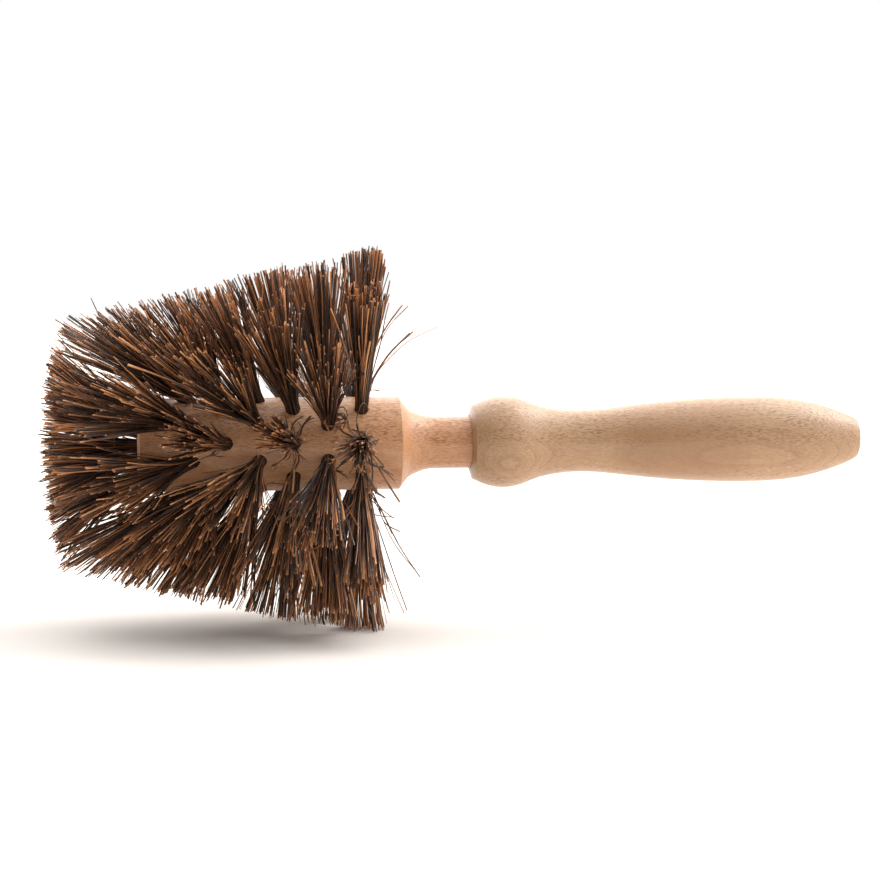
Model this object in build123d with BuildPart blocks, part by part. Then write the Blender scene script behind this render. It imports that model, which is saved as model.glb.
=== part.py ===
from build123d import *
import os
from math import atan, cos, degrees, hypot, radians, sin, tan

# A turned beech brush with a long handle. Its axis is level, along X, with the
# tufted tip at -X and the end of the handle at +X. The lowest bristles stand on
# Z = 0. Lengths are in millimetres and angles in degrees.

# Head: a barrel drilled for tufts, a cove and a neck that runs into the handle
ring_count = 6
tufts_per_ring = 8
ring_pitch = 13.7
last_ring_station = 20.4
shoulder_band_length = 16.0
core_radius = 8.75
hole_depth = 10.0
tip_chamfer_length = 1.0
shoulder_round_radius = 0.4
cove_length = 14.5
cove_start_slope = -1.25
neck_radius = 10.5
neck_length = 14.4
tenon_length = 25.0

# Handle: a bulb with the socket for the neck, a waist and a swelling grip
glue_gap = 0.1
socket_end_gap = 0.8
rim_width = 0.6
bevel_length = 1.3
bevel_radius = 15.0
bevel_end_slope = 0.5
bulb_station = 13.9
bulb_radius = 18.55
waist_station = 42.7
waist_radius = 12.6
grip_station = 111.0
grip_radius = 17.35
handle_length = 161.2
handle_end_radius = 8.1
handle_end_round_radius = 1.5
handle_end_slope = -0.65

# Tuft holes and tufts
hole_radius = 2.8
tuft_clearance = 0.1
collar_height = 0.7
strand_width = 1.0
strand_circle_radius = 1.75
strand_sink_depth = 0.8
fan_along_angle = 15.0
fan_round_angle = 11.0
tuft_clock_angle = 6.0
ring_lean_angles = (90.0, 86.0, 80.0, 70.0, 58.0, 46.0)
end_circle_radius = 11.3
end_tuft_count = 6
end_lean_angle = 30.0
tuft_turn_angle = 137.5

# Trim of the bristles: a cone that widens to the back ring, a low dome at the
# tip and a bevel behind the widest place
trim_radius = 77.6
trim_angle = 12.0
back_angle = 18.0
widest_distance = 8.1
tip_reach = 38.5
dome_radius = 170.0
floor_cut_depth = 0.5

# Flat wire that holds each folded tuft down in its hole
wire_thickness = 0.45
wire_height = 1.8
wire_bite_length = 0.7
wire_clearance = 0.05
wire_seat_height = 1.8

# Share of the full fan and of the full length for each strand of a tuft: the
# first strand is the middle one and the others stand in a circle round it
fan_shares = (0.0, 1.0, 0.66, 0.95, 0.72, 1.0, 0.62, 0.9)
length_shares = (0.985, 1.0, 0.97, 0.99, 0.96, 1.0, 0.975, 0.99)

# Places between the named stations of the cove's and the handle's outlines, as
# shares of the way along and of the change in radius
cove_shares = ((0.283, 0.612), (0.51, 0.812), (0.76, 0.956))
bevel_to_bulb_shares = ((0.43, 0.67),)
bulb_to_waist_shares = ((0.247, 0.202), (0.462, 0.59), (0.677, 0.835))
waist_to_grip_shares = ((0.318, 0.334), (0.592, 0.736))
grip_to_end_shares = ((0.448, 0.104), (0.699, 0.375), (0.87, 0.676))

# Sizes that follow from those above
barrel_radius = core_radius + hole_depth
barrel_length = last_ring_station + (ring_count - 1) * ring_pitch + shoulder_band_length
cove_end = barrel_length + cove_length
neck_end = cove_end + neck_length
brush_length = tip_reach + neck_end + handle_length
tip_x = tip_reach - brush_length / 2
first_ring_station = barrel_length - shoulder_band_length
widest_station = first_ring_station + widest_distance


def tuft_plane(station, radius, clock, lean):
    """Plane at a hole's mouth, with the brush's axis at Z = 0.

    Its normal is the way the tuft points and its X runs toward the handle. The clock
    angle is counted from -Y toward +Z, and the lean from the tip's direction.
    """
    out_y = -cos(radians(clock))
    out_z = sin(radians(clock))
    along = cos(radians(lean))
    across = sin(radians(lean))
    return Plane(
        origin=(tip_x + station, radius * out_y, radius * out_z),
        x_dir=(across, along * out_y, along * out_z),
        z_dir=(-along, across * out_y, across * out_z),
    )


def inside_trim(point):
    """True while a point lies inside the shape that the bristles are trimmed to."""
    station = point.X - tip_x
    radius = hypot(point.Y, point.Z)
    cone = trim_radius - (widest_station - station) * tan(radians(trim_angle))
    bevel = trim_radius - (station - widest_station) / tan(radians(back_angle))
    dome = dome_radius - tip_reach
    return radius < min(cone, bevel) and hypot(station - dome, radius) < dome_radius


def trimmed_length(root, aim):
    """Distance from a root point to the trim, by halving."""
    inside = 0
    outside = 2 * trim_radius
    for _ in range(40):
        middle = (inside + outside) / 2
        if inside_trim(root + aim * middle):
            inside = middle
        else:
            outside = middle
    return inside


def strand_places(mouth, turn):
    """Plane and length of each strand of a tuft, fanned out so that none cross."""
    places = []
    outer_count = len(fan_shares) - 1
    for index, fan_share in enumerate(fan_shares):
        angle = radians(turn + 360 * index / outer_count)
        ring = strand_circle_radius if index else 0
        root = mouth.from_local_coords((ring * cos(angle), ring * sin(angle), 0))
        aim_local = Vector(
            fan_share * cos(angle) * tan(radians(fan_along_angle)),
            fan_share * sin(angle) * tan(radians(fan_round_angle)),
            1,
        )
        aim = (mouth.from_local_coords(aim_local) - mouth.origin).normalized()
        length = trimmed_length(root, aim) * length_shares[index]
        start = root - aim * strand_sink_depth
        places.append((Plane(origin=start, x_dir=mouth.x_dir, z_dir=aim), length + strand_sink_depth))
    return places


# Every tuft: its name, the plane at its hole's mouth, the height of its bound
# collar over that plane, which clears the slanted hole's wall, and its strands
tufts = []


def add_tuft(name, plane, wall):
    """Note one tuft, with its strands turned a little further than the last one's."""
    collar = collar_height + wall
    strands = strand_places(plane.offset(collar), len(tufts) * tuft_turn_angle)
    tufts.append((name, plane, collar, strands))


for ring in range(ring_count):
    for place in range(tufts_per_ring):
        clock = tuft_clock_angle + 360 / tufts_per_ring * (place + ring % 2 / 2)
        lean = ring_lean_angles[ring]
        station = first_ring_station - ring * ring_pitch
        plane = tuft_plane(station, barrel_radius, clock, lean)
        add_tuft(f"tuft_ring_{ring + 1}_{place + 1}", plane, hole_radius / tan(radians(lean)))
for place in range(end_tuft_count):
    clock = tuft_clock_angle + 360 / end_tuft_count * (place + 0.5)
    plane = tuft_plane(0, end_circle_radius, clock, end_lean_angle)
    add_tuft(f"tuft_end_{place + 1}", plane, hole_radius * tan(radians(end_lean_angle)))
add_tuft("tuft_end_middle", tuft_plane(0, 0, tuft_clock_angle, 0), 0)

# The floor cuts the end of the lowest strand by the depth named above
strand_ends = [
    plane.origin + plane.z_dir * length
    for name, mouth, collar, strands in tufts
    for plane, length in strands
]
axis_height = -min(end.Z for end in strand_ends) - floor_cut_depth


def lifted(plane):
    """The same plane with the brush's axis at its height above the floor."""
    return Plane(Location((0, 0, axis_height)) * plane.location)


def between(start, finish, shares):
    """Points between two stations of an outline, from their pairs of shares."""
    return [
        (
            start[0] + (finish[0] - start[0]) * along_share,
            start[1] + (finish[1] - start[1]) * radius_share,
        )
        for along_share, radius_share in shares
    ]


turning_axis = Axis((tip_x, 0, axis_height), (1, 0, 0))
head_plane = Plane(origin=(tip_x, 0, axis_height), x_dir=(1, 0, 0), z_dir=(0, -1, 0))
handle_plane = Plane(
    origin=(tip_x + neck_end, 0, axis_height), x_dir=(1, 0, 0), z_dir=(0, -1, 0)
)
hole_planes = [lifted(plane) for name, plane, collar, strands in tufts]
wire_planes = [plane.offset(wire_seat_height - hole_depth) for plane in hole_planes]

os.makedirs("parts", exist_ok=True)

# Head with its blind tuft holes and the nicks that the staples' ends bite into
shoulder = (barrel_length, barrel_radius)
cove_foot = (cove_end, neck_radius)
with BuildPart() as brush_head:
    with BuildSketch(head_plane):
        with BuildLine():
            Polyline(
                cove_foot,
                (neck_end + tenon_length, neck_radius),
                (neck_end + tenon_length, 0),
                (0, 0),
                (0, barrel_radius),
                shoulder,
            )
            Spline(
                shoulder,
                *between(shoulder, cove_foot, cove_shares),
                cove_foot,
                tangents=((1, cove_start_slope), (1, 0)),
                tangent_scalars=(1, 1),
            )
        make_face()
    revolve(axis=turning_axis)
    rims = brush_head.edges().filter_by(GeomType.CIRCLE)
    chamfer(rims.sort_by(Axis.X)[0], tip_chamfer_length)
    widest_rims = brush_head.edges().filter_by(GeomType.CIRCLE).group_by(SortBy.RADIUS)[-1]
    fillet(widest_rims.sort_by(Axis.X)[-1], shoulder_round_radius)
    with Locations(*hole_planes):
        Hole(hole_radius, hole_depth)
    with Locations(*wire_planes):
        Box(
            2 * (hole_radius + wire_bite_length + wire_clearance),
            wire_thickness + 2 * wire_clearance,
            wire_height + 2 * wire_clearance,
            mode=Mode.SUBTRACT,
        )
brush_head.part.label = "brush_head"
export_step(brush_head.part, "parts/brush_head.step")


# Handle with its blind socket
rim_radius = neck_radius + glue_gap + rim_width
bevel = (bevel_length, bevel_radius)
bulb = (bulb_station, bulb_radius)
waist = (waist_station, waist_radius)
grip = (grip_station, grip_radius)
end_turn_angle = 90 + degrees(atan(handle_end_slope))
end_round_length = handle_end_round_radius * (1 - cos(radians(end_turn_angle)))
handle_end = (handle_length - end_round_length, handle_end_radius)
with BuildPart() as handle:
    with BuildSketch(handle_plane):
        with BuildLine():
            Polyline((0, 0), (0, rim_radius), bevel)
            outline = Spline(
                bevel,
                *between(bevel, bulb, bevel_to_bulb_shares),
                bulb,
                *between(bulb, waist, bulb_to_waist_shares),
                waist,
                *between(waist, grip, waist_to_grip_shares),
                grip,
                *between(grip, handle_end, grip_to_end_shares),
                handle_end,
                tangents=((1, bevel_end_slope), (1, handle_end_slope)),
                tangent_scalars=(1, 1),
            )
            end_round = JernArc(
                outline @ 1, outline % 1, handle_end_round_radius, -end_turn_angle
            )
            Polyline(end_round @ 1, (handle_length, 0), (0, 0))
        make_face()
    revolve(axis=turning_axis)
    with Locations(Plane(origin=handle_plane.origin, z_dir=(-1, 0, 0))):
        Hole(neck_radius + glue_gap, tenon_length + socket_end_gap)
handle.part.label = "handle"
export_step(handle.part, "parts/handle.step")

# Tufts: each is a bound root that fills its hole, and the strands that fan out
# of it, trimmed to length and cut flat where they stand on the floor
for name, plane, collar, strands in tufts:
    hole_plane = lifted(plane)
    fibres = []
    for strand_plane, length in strands:
        fibre = Box(
            strand_width,
            strand_width,
            length,
            align=(Align.CENTER, Align.CENTER, Align.MIN),
            mode=Mode.PRIVATE,
        )
        fibres.append(fibre.moved(lifted(strand_plane).location))
    with BuildPart() as tuft:
        with Locations(hole_plane.offset(collar)):
            Cylinder(
                hole_radius - tuft_clearance,
                hole_depth + collar,
                align=(Align.CENTER, Align.CENTER, Align.MAX),
            )
        add(fibres)
        with Locations(hole_plane.offset(wire_seat_height - hole_depth)):
            Box(
                2 * hole_radius,
                wire_thickness + 2 * wire_clearance,
                wire_height + 2 * wire_clearance,
                mode=Mode.SUBTRACT,
            )
        if tuft.part.bounding_box().min.Z < 0:
            split(bisect_by=Plane.XY, keep=Keep.TOP)
    tuft.part.label = name
    export_step(tuft.part, f"parts/{name}.step")

# Staples: one piece of flat wire across the bottom of each hole
with BuildPart() as tuft_staples:
    with Locations(*wire_planes):
        Box(2 * (hole_radius + wire_bite_length), wire_thickness, wire_height)
tuft_staples.part.label = "tuft_staples"
export_step(tuft_staples.part, "parts/tuft_staples.step")
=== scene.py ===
import math

import bpy
import numpy as np
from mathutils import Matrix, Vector


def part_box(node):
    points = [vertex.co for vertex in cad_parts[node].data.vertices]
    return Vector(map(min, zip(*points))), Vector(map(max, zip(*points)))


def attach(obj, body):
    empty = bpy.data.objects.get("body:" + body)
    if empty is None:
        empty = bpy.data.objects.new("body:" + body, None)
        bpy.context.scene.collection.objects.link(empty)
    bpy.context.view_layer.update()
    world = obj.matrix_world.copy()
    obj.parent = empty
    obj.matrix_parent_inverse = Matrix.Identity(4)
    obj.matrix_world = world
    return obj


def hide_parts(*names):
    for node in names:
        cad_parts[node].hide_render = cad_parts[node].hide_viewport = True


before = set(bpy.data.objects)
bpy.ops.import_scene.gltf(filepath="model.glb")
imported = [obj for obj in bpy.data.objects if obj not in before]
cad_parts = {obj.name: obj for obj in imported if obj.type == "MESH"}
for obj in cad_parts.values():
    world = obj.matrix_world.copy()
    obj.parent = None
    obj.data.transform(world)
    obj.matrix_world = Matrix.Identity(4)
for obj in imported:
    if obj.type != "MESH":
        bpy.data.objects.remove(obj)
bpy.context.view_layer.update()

# Palm fibre brush: turned beech head and handle, fifty-five tufts of stiff fibre.
# Lengths are in metres and angles in degrees. +X runs toward the handle's end.
MM = 0.001

# Places read from the frame
head_low, head_high = (Vector(corner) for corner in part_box("brush_head"))
handle_low, handle_high = (Vector(corner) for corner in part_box("handle"))
TIP_X = head_low.x
AXIS_Z = (handle_low.z + handle_high.z) / 2
BARREL_RADIUS = (head_high.z - head_low.z) / 2

# Camera: the photograph's side view, a little from the tip's side and above
CAMERA_AZIMUTH = -7.0
CAMERA_ELEVATION = 5.0
FRAME_PIXELS = 880
FOCAL_PIXELS = 2600
PIXEL_SIZE = 0.405 * MM
TARGET_STATION = 121.9 * MM
TARGET_LIFT = 0.9 * MM
SENSOR = 36.0
CAMERA_REACH = 20.0
azimuth = math.radians(CAMERA_AZIMUTH)
elevation = math.radians(CAMERA_ELEVATION)
toward = Vector((
    math.sin(azimuth) * math.cos(elevation),
    -math.cos(azimuth) * math.cos(elevation),
    math.sin(elevation),
))
rightward = Vector((math.cos(azimuth), math.sin(azimuth), 0.0))
upward = toward.cross(rightward)
target = Vector((TIP_X + TARGET_STATION, 0, AXIS_Z + TARGET_LIFT))
camera_place = target + toward * FOCAL_PIXELS * PIXEL_SIZE


def picture_point(column, row, nearness):
    """The point seen at a place in the picture, millimetres in front of the axis."""
    across = (column - FRAME_PIXELS / 2) / FOCAL_PIXELS
    above = (FRAME_PIXELS / 2 - row) / FOCAL_PIXELS
    ray = rightward * across + upward * above - toward
    return camera_place + ray * ((-nearness * MM - camera_place.y) / ray.y)


# Tuft places: six rings of eight, and seven tufts on the tip's end
FIRST_RING_STATION = 88.9 * MM
RING_PITCH = 13.7 * MM
RING_LEANS = (90.0, 86.0, 80.0, 70.0, 58.0, 46.0)
TUFTS_PER_RING = 8
TUFT_CLOCK = 6.0
END_CIRCLE_RADIUS = 11.3 * MM
END_TUFT_COUNT = 6
END_LEAN = 30.0

# Bundles: strands leave the hole side by side, then fan out along and round the head.
# Here and below, a pair in brackets holds the least and the most of a random value,
# and a spread is what a random normal value is multiplied by
BUNDLE_RADIUS = 2.5 * MM
ROOT_DEPTH = 3.0 * MM
ROOT_TILT_SPREAD = 2.5
GOLDEN_TURN = math.radians(137.5)
FAN_ALONG = 17.5
FAN_ROUND = 14.5
FAN_START = 8 * MM
TUFT_FANS = (0.9, 1.15)
FIRST_SEED = 11

# Locks: strands are drawn together by this share of the way, and each lock has its
# own share of the fan and its own length
LOCKS_PER_TUFT = 15
LOCK_PULL = 0.55
LOCK_FANS = (0.65, 1.2)
LOCK_SPARE_SPREAD = 0.4

# Straight strands: their count, length before the trim, radius, how they differ, and
# the points of their lines. Bows and waves are in millimetres, turns in radians
STRANDS_PER_TUFT = 140
STRAND_REACH = 100 * MM
STRAND_RADIUS = 0.29 * MM
RADIUS_SPREAD = 0.36
RADIUS_SHARES = (0.5, 2.1)
SPOT_TURN_SPREAD = 0.3
STRAND_FANS = (0.82, 1.12)
SLOPE_SPREAD = 0.03
BOW_SPREAD = 2.5
WAVE_HEIGHTS = (0.05, 0.35)
WAVE_LENGTHS = (22, 46)
TONE_SHAPE = (0.75, 1.15)
LINE_POINTS = 80
SHORTEST_LINE = 8

# Some straight strands bow out of the fan, and some are broken off
UNRULY_SHARE = 0.08
UNRULY_BOWS = (6, 20)
UNRULY_FANS = (1.3, 1.9)
BROKEN_SHARE = 0.24
BROKEN_LENGTHS = (0.4, 0.95)
SHORTEST_BROKEN_LINE = 12

# How far strands reach past the trim, in millimetres, before the ring's unevenness
TRIM_SPARE = 0.8
TRIM_SPARE_SPREAD = 0.4
LEAST_SHORTNESS = 0.5

# Crumpled strays: their place in the bundle, their number of legs, of which the upper
# end is left out, kinks in degrees, lengths in millimetres, and shares of the radius
STRAYS_PER_TUFT = 2
STRAY_SPOT_SPREAD = 0.6
STRAY_SPOT_LIMIT = 0.95
STRAY_AIM_SPREAD = 0.2
STRAY_LEGS = (3, 6)
STRAY_TURNS = (10, 50)
STRAY_LENGTHS = (10, 24)
STRAY_RADIUS_SHARES = (0.6, 1.1)
STRAY_TONES = (0.3, 0.95)
STRAY_POINTS = 40

# A strand's tube: its sides, its rings of points, its taper and its uneven section
STRAND_SIDES = 4
STRAIGHT_RINGS = 10
BENT_RINGS = 15
TAPER_SHARE = 0.12
RING_RADIUS_SPREAD = 0.07
CORNER_SPREAD = 0.2
CORNER_SHARES = (0.65, 1.35)
FLATNESS = (0.5, 1.0)
TWISTS = (-2, 2)
END_SLANTS = (-0.9, 0.9)
COLOUR_STARTS = (0, 40)

# How the rings, from the handle's side to the tip, and the tufts on the tip's end
# differ: their share of the fan, and of that where it turns to the handle, the
# unevenness of their ends in millimetres, and their share of the strands
RING_FANS = (0.72, 0.92, 1.0, 1.1, 1.25, 1.35)
RING_BACK_SHARES = (0.4, 0.85, 1.0, 1.0, 1.0, 1.0)
END_FAN = 1.3
END_BACK_SHARE = 1.0
RING_UNEVENNESS = (0.5, 0.5, 0.6, 0.8, 1.7, 2.6)
END_UNEVENNESS = 3.4
RING_DENSITIES = (1.0, 1.0, 1.0, 1.0, 1.1, 1.2)
END_DENSITY = 1.3

# Tufts that point at the camera are messier, with fewer strands: their share of the
# strands, the fan, and turns toward the handle and round the head, in degrees
MESSY_STRAYS = 9
MESSY_TUFTS = {
    "tuft_ring_1_1": (0.75, 0.6, -6.0, -8.0),
    "tuft_ring_2_8": (0.95, 0.85, 0.0, 0.0),
    "tuft_ring_3_1": (0.8, 0.5, -6.0, 2.0),
    "tuft_ring_5_1": (0.95, 0.85, 8.0, 2.0),
}

# Trim of the bristles: a cone, a low dome at the tip and a bevel behind the widest place
TRIM_RADIUS = 77.6 * MM
TRIM_ANGLE = 12.0
BACK_ANGLE = 18.0
WIDEST_STATION = 97.0 * MM
TIP_REACH = 38.5 * MM
DOME_RADIUS = 170.0 * MM

# Loose, bent and broken strands drawn one by one: for each tuft how many lie together,
# their radius in millimetres, their tone, and the corners, each as column and row in
# the picture and nearness in millimetres
DRAWN = {
    "tuft_ring_1_1": (
        (1, 0.35, 0.20, ((364, 444, 19), (369, 450, 27), (378, 459, 28), (386, 469, 25), (380, 466, 24))),
        (2, 0.35, 0.30, ((363, 446, 19), (366, 455, 27), (373, 465, 28), (385, 470, 26), (394, 476, 22))),
        (1, 0.45, 0.45, ((366, 446, 19), (381, 472, 27), (390, 487, 24), (400, 502, 20))),
        (2, 0.42, 0.85, ((362, 444, 19), (360, 452, 26), (352, 458, 27), (344, 462, 25))),
        (2, 0.38, 0.75, ((363, 444, 19), (364, 450, 26), (368, 459, 27), (372, 463, 25))),
        (2, 0.30, 0.55, ((365, 442, 19), (372, 446, 25), (377, 443, 26), (381, 441, 24))),
        (2, 0.30, 0.60, ((364, 438, 19), (365, 431, 25), (359, 431, 26), (352, 428, 24))),
        (2, 0.30, 0.50, ((358, 440, 19), (350, 435, 25), (343, 432, 26), (338, 427, 24), (330, 426, 22))),
        (3, 0.30, 0.40, ((358, 443, 19), (350, 446, 24), (345, 448, 24), (341, 450, 22))),
        (3, 0.33, 0.25, ((360, 445, 19), (345, 457, 26), (341, 464, 27), (336, 470, 26), (327, 476, 24))),
        (2, 0.35, 0.35, ((337, 469, 26), (327, 476, 25), (318, 490, 24), (314, 499, 22))),
        (1, 0.30, 0.30, ((336, 470, 25), (344, 475, 25), (348, 478, 24))),
        (3, 0.38, 0.35, ((361, 446, 19), (358, 456, 27), (362, 470, 29), (366, 487, 27))),
        (3, 0.38, 0.45, ((363, 446, 19), (369, 458, 27), (367, 474, 29), (370, 492, 26))),
        (3, 0.35, 0.40, ((362, 447, 19), (355, 460, 27), (357, 476, 29), (352, 494, 27))),
        (3, 0.35, 0.30, ((364, 446, 19), (363, 462, 28), (369, 478, 29), (376, 494, 25))),
        (2, 0.33, 0.55, ((361, 442, 19), (355, 438, 25), (352, 441, 27), (355, 446, 27), (361, 447, 25))),
        (2, 0.33, 0.25, ((363, 440, 19), (369, 434, 25), (371, 441, 27), (367, 448, 27), (360, 449, 25))),
        (1, 0.30, 0.30, (
            (361, 438, 19), (357, 430, 24), (356, 419, 27), (360, 406, 27), (364, 401, 25), (369, 410, 21),
        )),
    ),
    "tuft_ring_1_8": (
        (1, 0.40, 0.10, ((372, 489, 14), (378, 493, 24), (385, 498, 24))),
        (2, 0.42, 0.85, ((377, 488, 16), (368, 492, 26), (358, 504, 28), (351, 513, 26))),
        (2, 0.38, 0.70, ((354, 490, 16), (355, 502, 27), (350, 512, 29), (344, 520, 27))),
        (2, 0.30, 0.50, ((373, 493, 12), (380, 508, 16), (387, 523, 14), (392, 534, 10))),
    ),
    "tuft_ring_2_1": (
        (3, 0.33, 0.45, ((331, 424, 17), (337, 412, 26), (344, 418, 28), (350, 428, 24))),
        (3, 0.33, 0.55, ((330, 424, 17), (340, 416, 27), (340, 427, 29), (334, 434, 26))),
        (2, 0.33, 0.35, ((331, 423, 17), (344, 410, 27), (347, 422, 28), (341, 432, 25))),
        (2, 0.30, 0.60, ((329, 424, 17), (331, 412, 27), (324, 420, 29), (329, 431, 27))),
        (2, 0.30, 0.50, ((330, 423, 17), (341, 403, 30), (349, 414, 30), (344, 424, 26))),
        (2, 0.33, 0.75, ((329, 423, 17), (322, 410, 27), (325, 402, 30), (333, 406, 28))),
    ),
    "tuft_ring_3_1": (
        (2, 0.45, 0.10, ((294, 440, 19), (298, 432, 26), (304, 424, 27), (308, 420, 26), (314, 418, 24))),
        (1, 0.40, 0.20, ((293, 438, 19), (291, 428, 25), (296, 420, 26), (303, 416, 24))),
        (2, 0.42, 0.65, ((296, 442, 19), (300, 443, 26), (307, 442, 27), (314, 439, 25))),
        (1, 0.50, 0.95, ((293, 444, 19), (294, 462, 26), (294, 477, 27), (292, 497, 26))),
        (3, 0.33, 0.50, ((295, 445, 19), (298, 452, 25), (303, 460, 26))),
        (3, 0.38, 0.35, ((292, 444, 19), (290, 455, 25), (280, 462, 27), (272, 465, 26))),
        (2, 0.38, 0.25, ((294, 446, 19), (297, 458, 26), (292, 470, 27), (288, 484, 26))),
        (2, 0.33, 0.60, ((292, 443, 19), (284, 446, 25), (276, 442, 27), (270, 446, 25))),
        (2, 0.33, 0.70, ((293, 442, 19), (298, 436, 26), (303, 433, 27), (300, 427, 25))),
    ),
    "tuft_ring_1_3": (
        (1, 0.25, 0.95, ((370, 392, 0), (375, 374, 2), (392, 355, 4), (410, 339, 4), (438, 327, 4))),
        (2, 0.40, 0.60, ((366, 394, 4), (374, 376, 6), (388, 354, 8), (410, 333, 8))),
        (2, 0.36, 0.75, ((368, 394, 4), (375, 362, 8), (384, 330, 8), (408, 306, 8))),
        (3, 0.36, 0.30, ((362, 394, 4), (369, 354, 8), (374, 331, 8), (388, 299, 8))),
        (2, 0.40, 0.55, ((362, 394, 4), (369, 350, 8), (377, 300, 8), (385, 259, 8))),
        (2, 0.36, 0.15, ((358, 394, 4), (362, 340, 8), (364, 300, 8), (370, 291, 8))),
    ),
    "tuft_ring_1_7": (
        (2, 0.30, 0.55, ((366, 490, 4), (377, 500, 6), (398, 545, 8), (420, 577, 8))),
        (1, 0.30, 0.45, ((364, 490, 4), (376, 520, 6), (396, 580, 8), (407, 610, 8))),
        (1, 0.28, 0.60, ((362, 490, 6), (372, 540, 8), (394, 590, 8), (404, 613, 8))),
    ),
    "tuft_ring_3_8": (
        (1, 0.50, 0.90, ((306, 553, 44), (318, 547, 45), (328, 540, 45), (338, 535, 44))),
        (1, 0.40, 0.80, ((330, 548, 44), (331, 542, 45), (335, 532, 44))),
        (1, 0.35, 0.80, ((263, 508, 30), (262, 522, 32), (268, 529, 32), (278, 512, 30), (287, 481, 26))),
    ),
    "tuft_ring_6_3": (
        (1, 0.40, 0.15, ((112, 345, 2), (102, 322, 2), (91, 298, 2))),
    ),
}
# How far drawn strands that lie together part, in millimetres, and their points
DRAWN_SPREAD = 1.1
DRAWN_POINTS = 48


def trim_depth(points):
    """How far points lie inside the trim; below zero they are outside it."""
    station = points[:, 0] - TIP_X
    radius = np.hypot(points[:, 1], points[:, 2] - AXIS_Z)
    cone = TRIM_RADIUS - (WIDEST_STATION - station) * math.tan(math.radians(TRIM_ANGLE))
    bevel = TRIM_RADIUS - (station - WIDEST_STATION) / math.tan(math.radians(BACK_ANGLE))
    dome = DOME_RADIUS - TIP_REACH
    dome_depth = DOME_RADIUS - np.hypot(station - dome, radius)
    return np.minimum(np.minimum(cone, bevel) - radius, dome_depth)


def tuft_frame(station, radius, clock, lean):
    """Root point, aim, handle-ward and round-ward directions of one tuft."""
    out = np.array([0.0, -math.cos(math.radians(clock)), math.sin(math.radians(clock))])
    axial = np.array([1.0, 0.0, 0.0])
    aim = -math.cos(math.radians(lean)) * axial + math.sin(math.radians(lean)) * out
    along = math.sin(math.radians(lean)) * axial + math.cos(math.radians(lean)) * out
    root = np.array([TIP_X + station, 0.0, AXIS_Z]) + out * radius
    return root, aim, along, np.cross(aim, along)


def unit(vector):
    """The same direction with a length of 1."""
    return vector / np.linalg.norm(vector)


def tilted(place, along_turn, round_turn):
    """The same root with its aim turned a little, in degrees."""
    root, aim, along, across = place
    aim = aim + along * math.tan(math.radians(along_turn)) + across * math.tan(math.radians(round_turn))
    aim = unit(aim)
    along = unit(along - aim * (along @ aim))
    return root, aim, along, np.cross(aim, along)


def trimmed(points, spare):
    """The points up to the first one that stands further out of the trim than spare."""
    outside = np.nonzero(trim_depth(points) < -spare)[0]
    return points[: max(outside[0] + 1, SHORTEST_LINE)] if len(outside) else points


def strand_line(rng, place, spot, slope, bow):
    """Points of one strand: tight in the bundle, then fanned out and slightly bent."""
    root, aim, along, across = place
    distance = np.linspace(-ROOT_DEPTH, STRAND_REACH, LINE_POINTS)
    free = np.clip(distance, 0, None)
    spread = free - FAN_START * (1 - np.exp(-free / FAN_START))
    turn = rng.uniform(0, 2 * math.pi)
    arc = bow * (free / STRAND_REACH) ** 2
    wave = rng.uniform(*WAVE_HEIGHTS) * MM * np.clip(free / FAN_START, 0, 1)
    wave = wave * np.sin(2 * math.pi * free / (rng.uniform(*WAVE_LENGTHS) * MM) + turn)
    shift_along = spot[0] * BUNDLE_RADIUS + slope[0] * spread + arc * math.cos(turn) + wave * math.sin(turn)
    shift_across = spot[1] * BUNDLE_RADIUS + slope[1] * spread + arc * math.sin(turn) - wave * math.cos(turn)
    return root + np.outer(distance, aim) + np.outer(shift_along, along) + np.outer(shift_across, across)


def bent_line(rng, place, spot, length, turns):
    """Points of a crumpled strand that changes direction at a few kinks."""
    root, aim, along, across = place
    way = unit(aim + rng.normal() * STRAY_AIM_SPREAD * along + rng.normal() * STRAY_AIM_SPREAD * across)
    at = root + (spot[0] * along + spot[1] * across) * BUNDLE_RADIUS
    corners = [at - aim * ROOT_DEPTH, at]
    for turn in turns:
        at = at + way * length / len(turns)
        corners.append(at)
        sideways = unit(np.cross(way, rng.normal(size=3)))
        way = unit(way + math.tan(math.radians(turn)) * sideways)
    return smooth(np.array(corners), STRAY_POINTS)


def smooth(corners, count):
    """About so many points on a rounded line through the middle of each leg."""
    middles = (corners[:-1] + corners[1:]) / 2
    points = [corners[0]]
    steps = count // len(middles)
    for first, corner, second in zip(middles[:-1], corners[1:-1], middles[1:]):
        share = np.linspace(0, 1, steps)[:, None]
        points.extend((1 - share) ** 2 * first + 2 * share * (1 - share) * corner + share**2 * second)
    points.append(corners[-1])
    return np.array(points)


def resample(points, count):
    """The same line with evenly spaced points, and how far along each one lies."""
    steps = np.linalg.norm(np.diff(points, axis=0), axis=1)
    run = np.concatenate([[0], np.cumsum(steps)])
    wanted = np.linspace(0, run[-1], count)
    return np.stack([np.interp(wanted, run, points[:, k]) for k in range(3)], axis=1), wanted


def tube_pattern(ring_count):
    """Corner numbers of a tube's quads, with each corner's ring and column."""
    quads, rings, columns = [], [], []
    for ring in range(ring_count - 1):
        for side in range(STRAND_SIDES):
            following = (side + 1) % STRAND_SIDES
            low = ring * STRAND_SIDES
            high = low + STRAND_SIDES
            quads.append((low + side, low + following, high + following, high + side))
            rings.extend((ring, ring, ring + 1, ring + 1))
            columns.extend((side, side + 1, side + 1, side))
    return np.array(quads), np.array(rings), np.array(columns)


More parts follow.
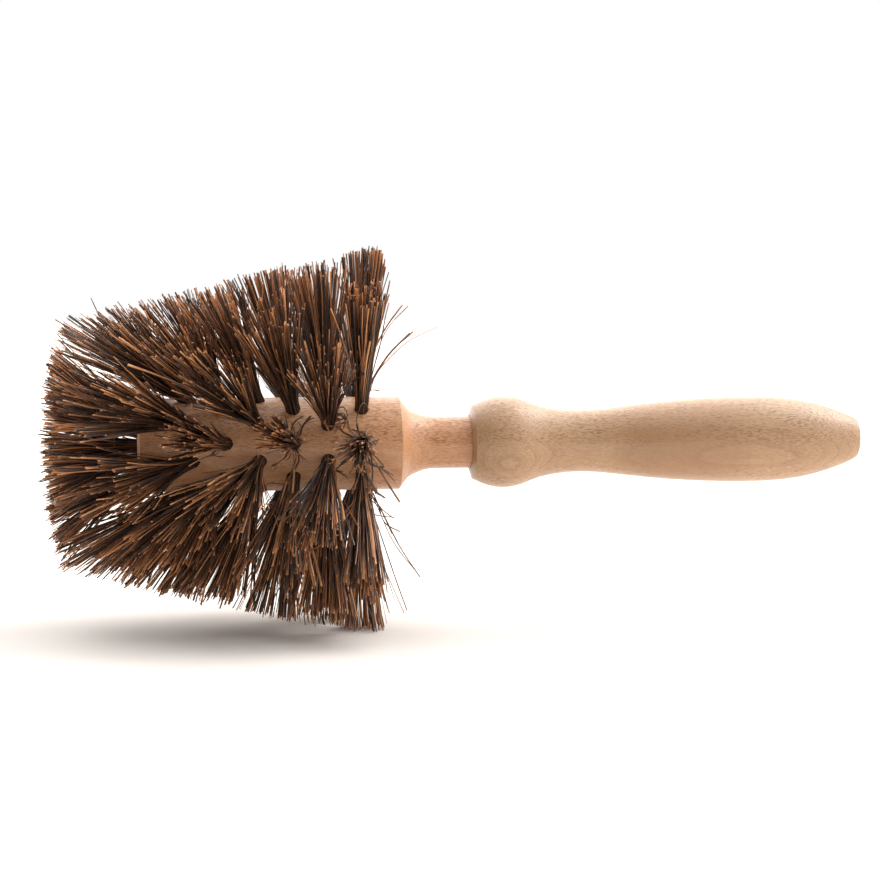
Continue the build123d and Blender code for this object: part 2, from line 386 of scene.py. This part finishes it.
class StrandMesh:
    """Collects strands as closed tubes of a few uneven sides, with their colours."""

    patterns = {count: tube_pattern(count) for count in (STRAIGHT_RINGS, BENT_RINGS)}

    def __init__(self):
        self.points = []
        self.faces = []
        self.colours = []
        self.uvs = []
        self.count = 0

    def add(self, rng, line, radius, tone, ring_count=STRAIGHT_RINGS):
        """One strand: a tube along the line, cut off at a slant, above the floor."""
        quads, ring_of, column_of = self.patterns[ring_count]
        points, run = resample(line, ring_count)
        points[:, 2] = np.maximum(points[:, 2], radius)
        tangent = np.gradient(points, axis=0)
        tangent /= np.linalg.norm(tangent, axis=1)[:, None]
        guide = unit(np.cross(tangent[0], rng.normal(size=3)))
        side_a = guide - tangent * (tangent @ guide)[:, None]
        side_a /= np.linalg.norm(side_a, axis=1)[:, None]
        side_b = np.cross(tangent, side_a)
        share = np.linspace(0, 1, ring_count)
        ring_radius = radius * (1 - TAPER_SHARE * share)
        ring_radius = ring_radius * (1 + RING_RADIUS_SPREAD * rng.normal(size=ring_count))
        corner = (1 + CORNER_SPREAD * rng.normal(size=STRAND_SIDES)).clip(*CORNER_SHARES)
        flat = rng.uniform(*FLATNESS)
        side_angles = np.arange(STRAND_SIDES) * 2 * math.pi / STRAND_SIDES
        angle = side_angles + rng.uniform(*TWISTS) * share[:, None]
        reach_a = np.cos(angle) * corner * ring_radius[:, None]
        reach_b = np.sin(angle) * corner * ring_radius[:, None] * flat
        rings = points[:, None, :] + reach_a[..., None] * side_a[:, None]
        rings += reach_b[..., None] * side_b[:, None]
        slant = rng.uniform(*END_SLANTS, size=2)
        rings[-1] += np.outer(reach_a[-1] * slant[0] + reach_b[-1] * slant[1], tangent[-1])
        rings[..., 2] = np.maximum(rings[..., 2], 0.0)
        self.points.append(rings.reshape(-1, 3))
        self.faces.extend((quads + self.count).tolist())
        last = self.count + (ring_count - 1) * STRAND_SIDES
        self.faces.append([self.count + side for side in reversed(range(STRAND_SIDES))])
        self.faces.append([last + side for side in range(STRAND_SIDES)])
        self.count += ring_count * STRAND_SIDES
        colour_start = rng.uniform(*COLOUR_STARTS)
        caps = np.repeat([0.0, 1.0], STRAND_SIDES)
        along = np.concatenate([share[ring_of], caps])
        cut = np.concatenate([np.zeros(len(ring_of)), caps])
        tones = np.full(len(along), tone)
        self.colours.append(np.stack([tones, along, cut, np.ones(len(along))], axis=1))
        around = np.concatenate([column_of, np.tile(np.arange(STRAND_SIDES), 2)]) / STRAND_SIDES
        lengthwise = np.concatenate([run[ring_of], caps * run[-1]])
        self.uvs.append(np.stack([colour_start + around, lengthwise], axis=1))

    def build(self, name, material):
        """One object of all the strands. The colour holds tone, place and cut end."""
        mesh = bpy.data.meshes.new(name)
        mesh.from_pydata(np.vstack(self.points).tolist(), [], self.faces)
        colour = mesh.color_attributes.new("fibre", "FLOAT_COLOR", "CORNER")
        colour.data.foreach_set("color", np.vstack(self.colours).astype(np.float32).ravel())
        layer = mesh.uv_layers.new(name="strand")
        layer.data.foreach_set("uv", np.vstack(self.uvs).astype(np.float32).ravel())
        mesh.materials.append(material)
        piece = bpy.data.objects.new(name, mesh)
        bpy.context.scene.collection.objects.link(piece)
        return piece


def disc_spot(index, count, stray):
    """One of so many evenly spread spots on a disc of radius 1, turned by stray."""
    share = math.sqrt((index + 0.5) / count)
    angle = GOLDEN_TURN * index + stray
    return np.array([share * math.cos(angle), share * math.sin(angle)])


def build_tuft(name, node, place, seed, fan_share, back_share, unevenness, density, material):
    """One tuft: straight strands fanned out of the bundle, unruly ones and drawn ones."""
    rng = np.random.default_rng(seed)
    mesh = StrandMesh()
    place = tilted(place, rng.normal() * ROOT_TILT_SPREAD, rng.normal() * ROOT_TILT_SPREAD)
    count = int(STRANDS_PER_TUFT * density)
    strays = STRAYS_PER_TUFT
    if node in MESSY_TUFTS:
        strand_share, fan_share, along_turn, round_turn = MESSY_TUFTS[node]
        place = tilted(place, along_turn, round_turn)
        count = int(count * strand_share)
        strays = MESSY_STRAYS
    fan = np.tan(np.radians([FAN_ALONG, FAN_ROUND])) * fan_share * rng.uniform(*TUFT_FANS)
    locks = np.array([disc_spot(index, LOCKS_PER_TUFT, 0) for index in range(LOCKS_PER_TUFT)])
    lock_fans = rng.uniform(*LOCK_FANS, size=LOCKS_PER_TUFT)
    lock_spares = rng.normal(size=LOCKS_PER_TUFT) * LOCK_SPARE_SPREAD
    for index in range(count):
        spot = disc_spot(index, count, rng.normal() * SPOT_TURN_SPREAD)
        lock = int(np.argmin(np.linalg.norm(locks - spot, axis=1)))
        gathered = spot * (1 - LOCK_PULL) + locks[lock] * LOCK_PULL
        slope = gathered * fan * lock_fans[lock] * rng.uniform(*STRAND_FANS)
        slope = slope + rng.normal(size=2) * SLOPE_SPREAD
        if slope[0] > 0:
            slope[0] *= back_share
        bow = rng.normal() * BOW_SPREAD * MM
        if rng.uniform() < UNRULY_SHARE:
            bow = rng.uniform(*UNRULY_BOWS) * MM
            slope = slope * rng.uniform(*UNRULY_FANS)
        spare = TRIM_SPARE + lock_spares[lock] + rng.normal() * TRIM_SPARE_SPREAD
        spare = spare - (abs(rng.normal()) + LEAST_SHORTNESS) * unevenness
        line = trimmed(strand_line(rng, place, spot, slope, bow), spare * MM)
        if rng.uniform() < BROKEN_SHARE:
            length = int(len(line) * rng.uniform(*BROKEN_LENGTHS))
            line = line[: max(SHORTEST_BROKEN_LINE, length)]
        tone = float(rng.beta(*TONE_SHAPE))
        radius = STRAND_RADIUS * float(np.clip(math.exp(RADIUS_SPREAD * rng.normal()), *RADIUS_SHARES))
        mesh.add(rng, line, radius, tone)
    for _ in range(strays):
        spot = np.clip(rng.normal(size=2) * STRAY_SPOT_SPREAD, -STRAY_SPOT_LIMIT, STRAY_SPOT_LIMIT)
        turns = rng.uniform(*STRAY_TURNS, size=rng.integers(*STRAY_LEGS))
        length = rng.uniform(*STRAY_LENGTHS) * MM
        line = trimmed(bent_line(rng, place, spot, length, turns), 0)
        radius = STRAND_RADIUS * rng.uniform(*STRAY_RADIUS_SHARES)
        mesh.add(rng, line, radius, float(rng.uniform(*STRAY_TONES)), BENT_RINGS)
    for together, radius, tone, corners in DRAWN.get(node, ()):
        for copy in range(together):
            line = np.array([picture_point(*corner) for corner in corners])
            shift = rng.normal(size=(len(line) - 1, 3)) * DRAWN_SPREAD * MM
            if copy:
                line[1:] += shift
            mesh.add(rng, smooth(line, DRAWN_POINTS), radius * MM, tone, BENT_RINGS)
    return mesh.build(name, material)


# Materials. A scale holds a noise's repeats a metre in three directions, or round and
# along a strand. A range holds the low and high of what goes in, and what they become

# Palm fibre: dark to pale colours, and how far streaks, patches, the way along a
# strand (painted shade at the root, painted light toward the tip) and its last twentieth darken or lighten
# it
PALM_COLOURS = (
    (0.0, (0.016, 0.010, 0.007)),
    (0.3, (0.052, 0.027, 0.016)),
    (0.55, (0.152, 0.071, 0.037)),
    (0.78, (0.400, 0.166, 0.071)),
    (1.0, (0.740, 0.340, 0.135)),
)
CUT_END_COLOURS = ((0.16, 0.070, 0.033), (0.60, 0.270, 0.120))
CUT_END_SCALE = 900.0
STREAK_SCALE = (4.5, 40.0, 1.0)
STREAK_RANGE = (0.32, 0.68, -0.36, 0.36)
FIBRE_PATCH_SCALE = (1.0, 60.0, 1.0)
FIBRE_PATCH_RANGE = (0.3, 0.7, -0.16, 0.16)
ROOT_SHADE_TIP_LIGHT_RANGE = (0.1, 0.9, -0.24, 0.14)
LAST_RANGE = (0.95, 1.0, 0.0, 0.22)
PALM_ROUGHNESS_RANGE = (0.3, 0.7, 0.34, 0.55)
PALM_SPECULAR = 0.45
PALM_BUMP = 0.2 * MM

# Beech: its growth rings lie square to a direction toward the front and below, a
# wander and a ripple shift them, and wide ones have thin ones between them
RING_FRONT = 0.93
RING_DOWN = 0.36
WANDER_SCALE = (9.0, 26.0, 26.0)
WANDER_DEPTH = 8 * MM
RIPPLE_SCALE = (60.0, 420.0, 420.0)
RIPPLE_DEPTH = 0.5 * MM
WIDE_RING = 2.1 * MM
WIDE_RISE_RANGE = (0.5, 0.93, 0.0, 1.0)
WIDE_FALL_RANGE = (0.93, 1.0, 1.0, 0.0)
THIN_RING = 0.7 * MM
THIN_RISE_RANGE = (0.55, 0.9, 0.0, 1.0)
THIN_FALL_RANGE = (0.9, 1.0, 1.0, 0.0)

# Where the beech's surface faces that direction, from the cosine of the angle: the
# flecks fade on the flat part, and the front is darker with painted shade
LEAST_REACH = 0.1 * MM
FLAT_RANGE = (0.86, 0.99, 0.0, 1.0)
PAINTED_FRONT_SHADE_RANGE = (-0.2, 0.9, 0.2, 1.0)

# The beech's noises
CLOUD_SCALE = (14.0, 60.0, 60.0)
PATCH_SCALE = (70.0, 260.0, 260.0)
GRAIN_SCALE = (130.0, 2200.0, 2200.0)
BEND_SCALE = 220.0
BEND_DEPTH = 1.2 * MM
DASH_SCALE = (520.0, 2700.0, 2700.0)
SPECK_SCALE = (1300.0, 6400.0, 6400.0)
DARK_SPAN_SCALE = (22.0, 30.0, 30.0)
DARK_SPAN_FADE = 30 * MM

# How strongly each of them colours the beech
DASH_RANGE = (0.52, 0.61, 0.0, 1.0)
DASH_PATCH_RANGE = (0.35, 0.6, 0.45, 1.0)
DASH_FLAT_RANGE = (0.0, 1.0, 1.0, 0.3)
DASH_SHARE = 0.78
SHINE_RANGE = (0.44, 0.34, 0.0, 1.0)
SHINE_SHARE = 0.5
GRAIN_RANGE = (0.3, 0.75, 0.0, 0.35)
WIDE_RING_RANGE = (0.0, 1.0, 0.15, 0.4)
THIN_RING_SHARE = 0.32
SPECK_RANGE = (0.56, 0.74, 0.0, 0.35)
DARK_SPAN_RANGE = (0.3, 0.6, 0.48, 0.7)
BEECH_ROUGHNESS_RANGE = (0.2, 0.8, 0.3, 0.42)
BEECH_SPECULAR = 0.6
BEECH_BUMP = 0.08 * MM
BEECH_BUMP_STRENGTH = 0.6

# Steel wire
WIRE_SCALE = (300.0, 6000.0, 6000.0)
WIRE_COLOURS = ((0.3, (0.42, 0.42, 0.40)), (0.7, (0.62, 0.61, 0.58)))
WIRE_ROUGHNESS_RANGE = (0.3, 0.7, 0.3, 0.5)


class Nodes:
    """A short way to write a material's node tree."""

    def __init__(self, name):
        self.material = bpy.data.materials.new(name)
        self.material.use_nodes = True
        self.tree = self.material.node_tree
        self.tree.nodes.clear()
        self.shader = self.add("ShaderNodeBsdfPrincipled")
        output = self.add("ShaderNodeOutputMaterial")
        self.link(self.shader.outputs[0], output.inputs[0])

    def add(self, kind, **values):
        node = self.tree.nodes.new(kind)
        for key, value in values.items():
            setattr(node, key, value)
        return node

    def link(self, source, target):
        self.tree.links.new(source, target)

    def feed(self, source, target):
        """Links a socket, or sets a plain value."""
        if isinstance(source, bpy.types.NodeSocket):
            self.link(source, target)
        else:
            target.default_value = source

    def math(self, operation, first, second=0.0, clamp=False):
        node = self.add("ShaderNodeMath", operation=operation, use_clamp=clamp)
        for value, socket in zip((first, second), node.inputs):
            self.feed(value, socket)
        return node.outputs[0]

    def noise(self, vector, scale, detail=2.0, roughness=0.5):
        """Noise with one scale, or with a scale for each direction."""
        if isinstance(scale, tuple):
            mapping = self.add("ShaderNodeMapping", vector_type="POINT")
            self.link(vector, mapping.inputs["Vector"])
            mapping.inputs["Scale"].default_value = scale
            vector, scale = mapping.outputs[0], 1.0
        node = self.add("ShaderNodeTexNoise")
        self.link(vector, node.inputs["Vector"])
        node.inputs["Scale"].default_value = scale
        node.inputs["Detail"].default_value = detail
        node.inputs["Roughness"].default_value = roughness
        return node.outputs["Fac"]

    def ramp(self, factor, stops):
        node = self.add("ShaderNodeValToRGB")
        self.feed(factor, node.inputs[0])
        elements = node.color_ramp.elements
        while len(elements) < len(stops):
            elements.new(0.5)
        for element, (place, colour) in zip(elements, stops):
            element.position = place
            element.color = (*colour, 1.0)
        return node.outputs[0]

    def range(self, value, from_low, from_high, to_low, to_high, smooth=False):
        """Maps one range of values to another, and holds it at both ends."""
        node = self.add("ShaderNodeMapRange")
        if smooth:
            node.interpolation_type = "SMOOTHSTEP"
        self.feed(value, node.inputs["Value"])
        node.inputs["From Min"].default_value = from_low
        node.inputs["From Max"].default_value = from_high
        node.inputs["To Min"].default_value = to_low
        node.inputs["To Max"].default_value = to_high
        return node.outputs[0]

    def mix(self, factor, first, second):
        """Mixes two colours, each a socket or a plain colour."""
        node = self.add("ShaderNodeMix", data_type="RGBA")
        self.feed(factor, node.inputs["Factor"])
        colours = [socket for socket in node.inputs if socket.type == "RGBA"]
        for value, socket in zip((first, second), colours):
            plain = not isinstance(value, bpy.types.NodeSocket)
            self.feed((*value, 1.0) if plain else value, socket)
        return [socket for socket in node.outputs if socket.type == "RGBA"][0]

    def bump(self, height, distance, strength=1.0):
        node = self.add("ShaderNodeBump")
        self.link(height, node.inputs["Height"])
        node.inputs["Distance"].default_value = distance
        node.inputs["Strength"].default_value = strength
        self.link(node.outputs[0], self.shader.inputs["Normal"])


def palm_material():
    """Stiff leaf-stalk fibre: near black to orange-brown strands, striped lengthwise, with painted shade at
    the roots.
    """
    n = Nodes("palm_fibre")
    attribute = n.add("ShaderNodeAttribute", attribute_name="fibre")
    split = n.add("ShaderNodeSeparateColor")
    n.link(attribute.outputs["Color"], split.inputs[0])
    tone, along, cut = split.outputs
    uv = n.add("ShaderNodeUVMap", uv_map="strand").outputs[0]
    streaks = n.noise(uv, STREAK_SCALE, detail=3.0)
    patches = n.noise(uv, FIBRE_PATCH_SCALE, detail=1.0)
    shade = n.math("ADD", tone, n.range(streaks, *STREAK_RANGE))
    shade = n.math("ADD", shade, n.range(patches, *FIBRE_PATCH_RANGE))
    # Painted shade toward the root of each strand, painted light toward its tip
    shade = n.math("ADD", shade, n.range(along, *ROOT_SHADE_TIP_LIGHT_RANGE))
    shade = n.math("ADD", shade, n.range(along, *LAST_RANGE), clamp=True)
    ends = n.mix(n.noise(uv, CUT_END_SCALE), *CUT_END_COLOURS)
    n.link(n.mix(cut, n.ramp(shade, PALM_COLOURS), ends), n.shader.inputs["Base Color"])
    n.link(n.range(streaks, *PALM_ROUGHNESS_RANGE), n.shader.inputs["Roughness"])
    n.shader.inputs["Specular IOR Level"].default_value = PALM_SPECULAR
    n.bump(streaks, PALM_BUMP)
    return n.material


def beech_material(name, tones):
    """Untreated turned beech: flecks along the grain, growth rings seen flat, and painted shade on the
    front.
    """
    n = Nodes(name)
    place = n.add("ShaderNodeTexCoord").outputs["Object"]
    parts = n.add("ShaderNodeSeparateXYZ")
    n.link(place, parts.inputs[0])
    sideways, height = parts.outputs[1], parts.outputs[2]

    # Depth along the rings' direction, and the place within a wide and a thin ring
    wander = n.noise(place, WANDER_SCALE)
    ripple = n.noise(place, RIPPLE_SCALE)
    depth = n.math("MULTIPLY", sideways, -RING_FRONT)
    depth = n.math("ADD", depth, n.math("MULTIPLY", height, -RING_DOWN))
    depth = n.math("ADD", depth, n.math("MULTIPLY", wander, WANDER_DEPTH))
    depth = n.math("ADD", depth, n.math("MULTIPLY", ripple, RIPPLE_DEPTH))
    wide = n.math("FRACT", n.math("DIVIDE", depth, WIDE_RING))
    wide_rise = n.range(wide, *WIDE_RISE_RANGE, smooth=True)
    wide = n.math("MULTIPLY", wide_rise, n.range(wide, *WIDE_FALL_RANGE))
    thin = n.math("FRACT", n.math("DIVIDE", depth, THIN_RING))
    thin = n.math("MULTIPLY", n.range(thin, *THIN_RISE_RANGE), n.range(thin, *THIN_FALL_RANGE))

    # How squarely the surface faces that direction
    level = n.math("ADD", height, -AXIS_Z)
    squares = n.math("ADD", n.math("POWER", sideways, 2.0), n.math("POWER", level, 2.0))
    reach = n.math("ADD", n.math("SQRT", squares), LEAST_REACH)
    facing = n.math("MULTIPLY", sideways, -RING_FRONT)
    facing = n.math("ADD", facing, n.math("MULTIPLY", level, -RING_DOWN))
    facing = n.math("DIVIDE", facing, reach)
    flat = n.range(facing, *FLAT_RANGE, smooth=True)

    # Clouds, patches and grain, and flecks whose rows are bent a little
    cloud = n.noise(place, CLOUD_SCALE, detail=3.0)
    patch = n.noise(place, PATCH_SCALE)
    grain = n.noise(place, GRAIN_SCALE)
    bend = n.math("MULTIPLY", n.noise(place, BEND_SCALE, detail=1.0), BEND_DEPTH)
    lift = n.add("ShaderNodeCombineXYZ")
    for socket in lift.inputs:
        n.link(bend, socket)
    shift = n.add("ShaderNodeVectorMath", operation="ADD")
    n.link(place, shift.inputs[0])
    n.link(lift.outputs[0], shift.inputs[1])
    waved = shift.outputs[0]
    dashes = n.noise(waved, DASH_SCALE, detail=0.5, roughness=0.4)
    specks = n.noise(waved, SPECK_SCALE, detail=1.0)
    dash = n.range(dashes, *DASH_RANGE, smooth=True)
    dash = n.math("MULTIPLY", dash, n.range(patch, *DASH_PATCH_RANGE))
    dash = n.math("MULTIPLY", dash, n.range(flat, *DASH_FLAT_RANGE))
    shine = n.range(dashes, *SHINE_RANGE, smooth=True)

    # Painted shade: the front is darker by at least the piece's own share, and more so in
    # a darker cloudy span between two stations along the brush, with soft ends
    dark_span = n.noise(place, DARK_SPAN_SCALE, detail=1.0)
    near, far = tones["dark_span"]
    rise = n.range(parts.outputs[0], near, near + DARK_SPAN_FADE, 0.0, 1.0, smooth=True)
    fall = n.range(parts.outputs[0], far - DARK_SPAN_FADE, far, 1.0, 0.0, smooth=True)
    painted_shade = n.math("MULTIPLY", n.math("MULTIPLY", rise, fall), n.range(dark_span, *DARK_SPAN_RANGE))
    painted_shade = n.math("MULTIPLY", n.range(facing, *PAINTED_FRONT_SHADE_RANGE, smooth=True),
                  n.math("MAXIMUM", painted_shade, tones["front_shade"]))

    base = n.mix(cloud, tones["pale"], tones["mid"])
    base = n.mix(n.range(grain, *GRAIN_RANGE), base, tones["ring"])
    base = n.mix(n.math("MULTIPLY", wide, n.range(flat, *WIDE_RING_RANGE)), base, tones["ring"])
    base = n.mix(n.math("MULTIPLY", thin, n.math("MULTIPLY", flat, THIN_RING_SHARE)), base, tones["ring"])
    base = n.mix(n.math("MULTIPLY", shine, SHINE_SHARE), base, tones["pale"])
    base = n.mix(n.math("MULTIPLY", dash, DASH_SHARE), base, tones["dash"])
    base = n.mix(n.range(specks, *SPECK_RANGE), base, tones["dash"])
    # Painted shade on the front, deeper in the darker span
    base = n.mix(painted_shade, base, tones["ring"])
    n.link(base, n.shader.inputs["Base Color"])
    n.link(n.range(cloud, *BEECH_ROUGHNESS_RANGE), n.shader.inputs["Roughness"])
    n.shader.inputs["Specular IOR Level"].default_value = BEECH_SPECULAR
    n.bump(n.math("SUBTRACT", grain, dash), BEECH_BUMP, BEECH_BUMP_STRENGTH)
    return n.material


def steel_material():
    """Drawn steel wire of the staples."""
    n = Nodes("staple_wire")
    place = n.add("ShaderNodeTexCoord").outputs["Object"]
    grain = n.noise(place, WIRE_SCALE)
    n.link(n.ramp(grain, WIRE_COLOURS), n.shader.inputs["Base Color"])
    n.link(n.range(grain, *WIRE_ROUGHNESS_RANGE), n.shader.inputs["Roughness"])
    n.shader.inputs["Metallic"].default_value = 1.0
    return n.material


def wear(node, material):
    """Gives a carried-over node its finished material."""
    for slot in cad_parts[node].material_slots:
        slot.material = material


# Tones of the two beech pieces: where along X the darker span of the painted front shade
# starts and ends, the least share of the ring colour painted on the front as shade, and the
# colours. The head's span is at its tip and fades from there, and the handle's lies between two stations of
# it
DARK_SPAN_START = 40 * MM
DARK_SPAN_END = 130 * MM
HEAD_TONES = {
    "dark_span": (TIP_X - DARK_SPAN_FADE, TIP_X + DARK_SPAN_FADE),
    "front_shade": 0.38,
    "pale": (0.80, 0.462, 0.240),
    "mid": (0.70, 0.360, 0.172),
    "ring": (0.41, 0.170, 0.073),
    "dash": (0.26, 0.10, 0.045),
}
HANDLE_TONES = {
    "dark_span": (handle_low.x + DARK_SPAN_START, handle_low.x + DARK_SPAN_END),
    "front_shade": 0.24,
    "pale": (0.625, 0.405, 0.230),
    "mid": (0.520, 0.322, 0.177),
    "ring": (0.35, 0.180, 0.088),
    "dash": (0.25, 0.12, 0.06),
}
wear("brush_head", beech_material("beech_head", HEAD_TONES))
wear("handle", beech_material("beech_handle", HANDLE_TONES))
wear("tuft_staples", steel_material())

palm = palm_material()
places = []
end_manner = (END_FAN, END_BACK_SHARE, END_UNEVENNESS, END_DENSITY)
for ring, lean in enumerate(RING_LEANS):
    station = FIRST_RING_STATION - ring * RING_PITCH
    for number in range(TUFTS_PER_RING):
        clock = TUFT_CLOCK + 360 / TUFTS_PER_RING * (number + ring % 2 / 2)
        place = tuft_frame(station, BARREL_RADIUS, clock, lean)
        manner = (RING_FANS[ring], RING_BACK_SHARES[ring], RING_UNEVENNESS[ring], RING_DENSITIES[ring])
        places.append((f"tuft_ring_{ring + 1}_{number + 1}", place, manner))
for number in range(END_TUFT_COUNT):
    clock = TUFT_CLOCK + 360 / END_TUFT_COUNT * (number + 0.5)
    place = tuft_frame(0, END_CIRCLE_RADIUS, clock, END_LEAN)
    places.append((f"tuft_end_{number + 1}", place, end_manner))
places.append(("tuft_end_middle", tuft_frame(0, 0, TUFT_CLOCK, 0), end_manner))
for seed, (node, place, manner) in enumerate(places):
    piece = build_tuft(f"fibre_{node}", node, place, seed + FIRST_SEED, *manner, palm)
    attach(piece, "root")
    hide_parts(node)

# Floor of white paper
FLOOR_HALF = 3.0
PAPER_COLOUR = (0.77, 0.725, 0.68, 1.0)
PAPER_ROUGHNESS = 0.9
PAPER_SPECULAR = 0.1
floor_mesh = bpy.data.meshes.new("floor")
floor_corners = [(FLOOR_HALF * x, FLOOR_HALF * y, 0) for x, y in ((-1, -1), (1, -1), (1, 1), (-1, 1))]
floor_mesh.from_pydata(floor_corners, [], [(0, 1, 2, 3)])
floor = bpy.data.objects.new("floor", floor_mesh)
bpy.context.scene.collection.objects.link(floor)
paper = Nodes("paper")
paper.shader.inputs["Base Color"].default_value = PAPER_COLOUR
paper.shader.inputs["Roughness"].default_value = PAPER_ROUGHNESS
paper.shader.inputs["Specular IOR Level"].default_value = PAPER_SPECULAR
floor_mesh.materials.append(paper.material)

# Light: a white surround, bright overhead, with a soft lamp and a wider glow on the
# handle's side, dim in front, and a low glow from behind that fills the shadow. Each
# has its direction, the cosines of the angle to it where it starts and where it is
# full, and its brightness at both. The camera itself sees plain white
OVERHEAD = ((0.1, 0.1, 1.0), 0.45, 1.0, 0.04, 1.4)
LAMP = ((0.66, 0.26, 0.70), 0.86, 0.99, 0.0, 4.6)
HANDLE_GLOW = ((0.88, -0.15, 0.45), 0.5, 0.95, 0.0, 1.35)
BACK_GLOW = ((-0.45, 0.88, 0.12), 0.1, 0.9, 0.0, 3.0)
SEEN_BRIGHTNESS = 1.0
world = bpy.data.worlds.new("surround")
bpy.context.scene.world = world
world.use_nodes = True
tree = world.node_tree
tree.nodes.clear()
coord = tree.nodes.new("ShaderNodeTexCoord")


def glow(direction, from_low, from_high, low, high):
    """A smooth change of brightness with the angle to a direction."""
    facing = tree.nodes.new("ShaderNodeVectorMath")
    facing.operation = "DOT_PRODUCT"
    facing.inputs[1].default_value = Vector(direction).normalized()
    tree.links.new(coord.outputs["Generated"], facing.inputs[0])
    fade = tree.nodes.new("ShaderNodeMapRange")
    fade.interpolation_type = "SMOOTHSTEP"
    tree.links.new(facing.outputs["Value"], fade.inputs["Value"])
    for name, value in zip(("From Min", "From Max", "To Min", "To Max"), (from_low, from_high, low, high)):
        fade.inputs[name].default_value = value
    return fade.outputs[0]


total = glow(*OVERHEAD)
for lobe in (LAMP, HANDLE_GLOW, BACK_GLOW):
    both = tree.nodes.new("ShaderNodeMath")
    tree.links.new(total, both.inputs[0])
    tree.links.new(glow(*lobe), both.inputs[1])
    total = both.outputs[0]
ray = tree.nodes.new("ShaderNodeLightPath")
pick = tree.nodes.new("ShaderNodeMix")
tree.links.new(ray.outputs["Is Camera Ray"], pick.inputs[0])
tree.links.new(total, pick.inputs[2])
pick.inputs[3].default_value = SEEN_BRIGHTNESS
back = tree.nodes.new("ShaderNodeBackground")
tree.links.new(pick.outputs[0], back.inputs["Strength"])
back.inputs["Color"].default_value = (1.0, 1.0, 1.0, 1.0)
surface = tree.nodes.new("ShaderNodeOutputWorld")
tree.links.new(back.outputs[0], surface.inputs[0])

# The photograph's camera
camera_data = bpy.data.cameras.new("camera")
camera_data.sensor_width = SENSOR
camera_data.lens = FOCAL_PIXELS / FRAME_PIXELS * SENSOR
camera_data.clip_end = CAMERA_REACH
camera = bpy.data.objects.new("camera", camera_data)
camera.location = camera_place
camera.rotation_euler = (-toward).to_track_quat("-Z", "Y").to_euler()
bpy.context.scene.collection.objects.link(camera)
bpy.context.scene.camera = camera
bpy.context.scene.view_settings.view_transform = "Standard"
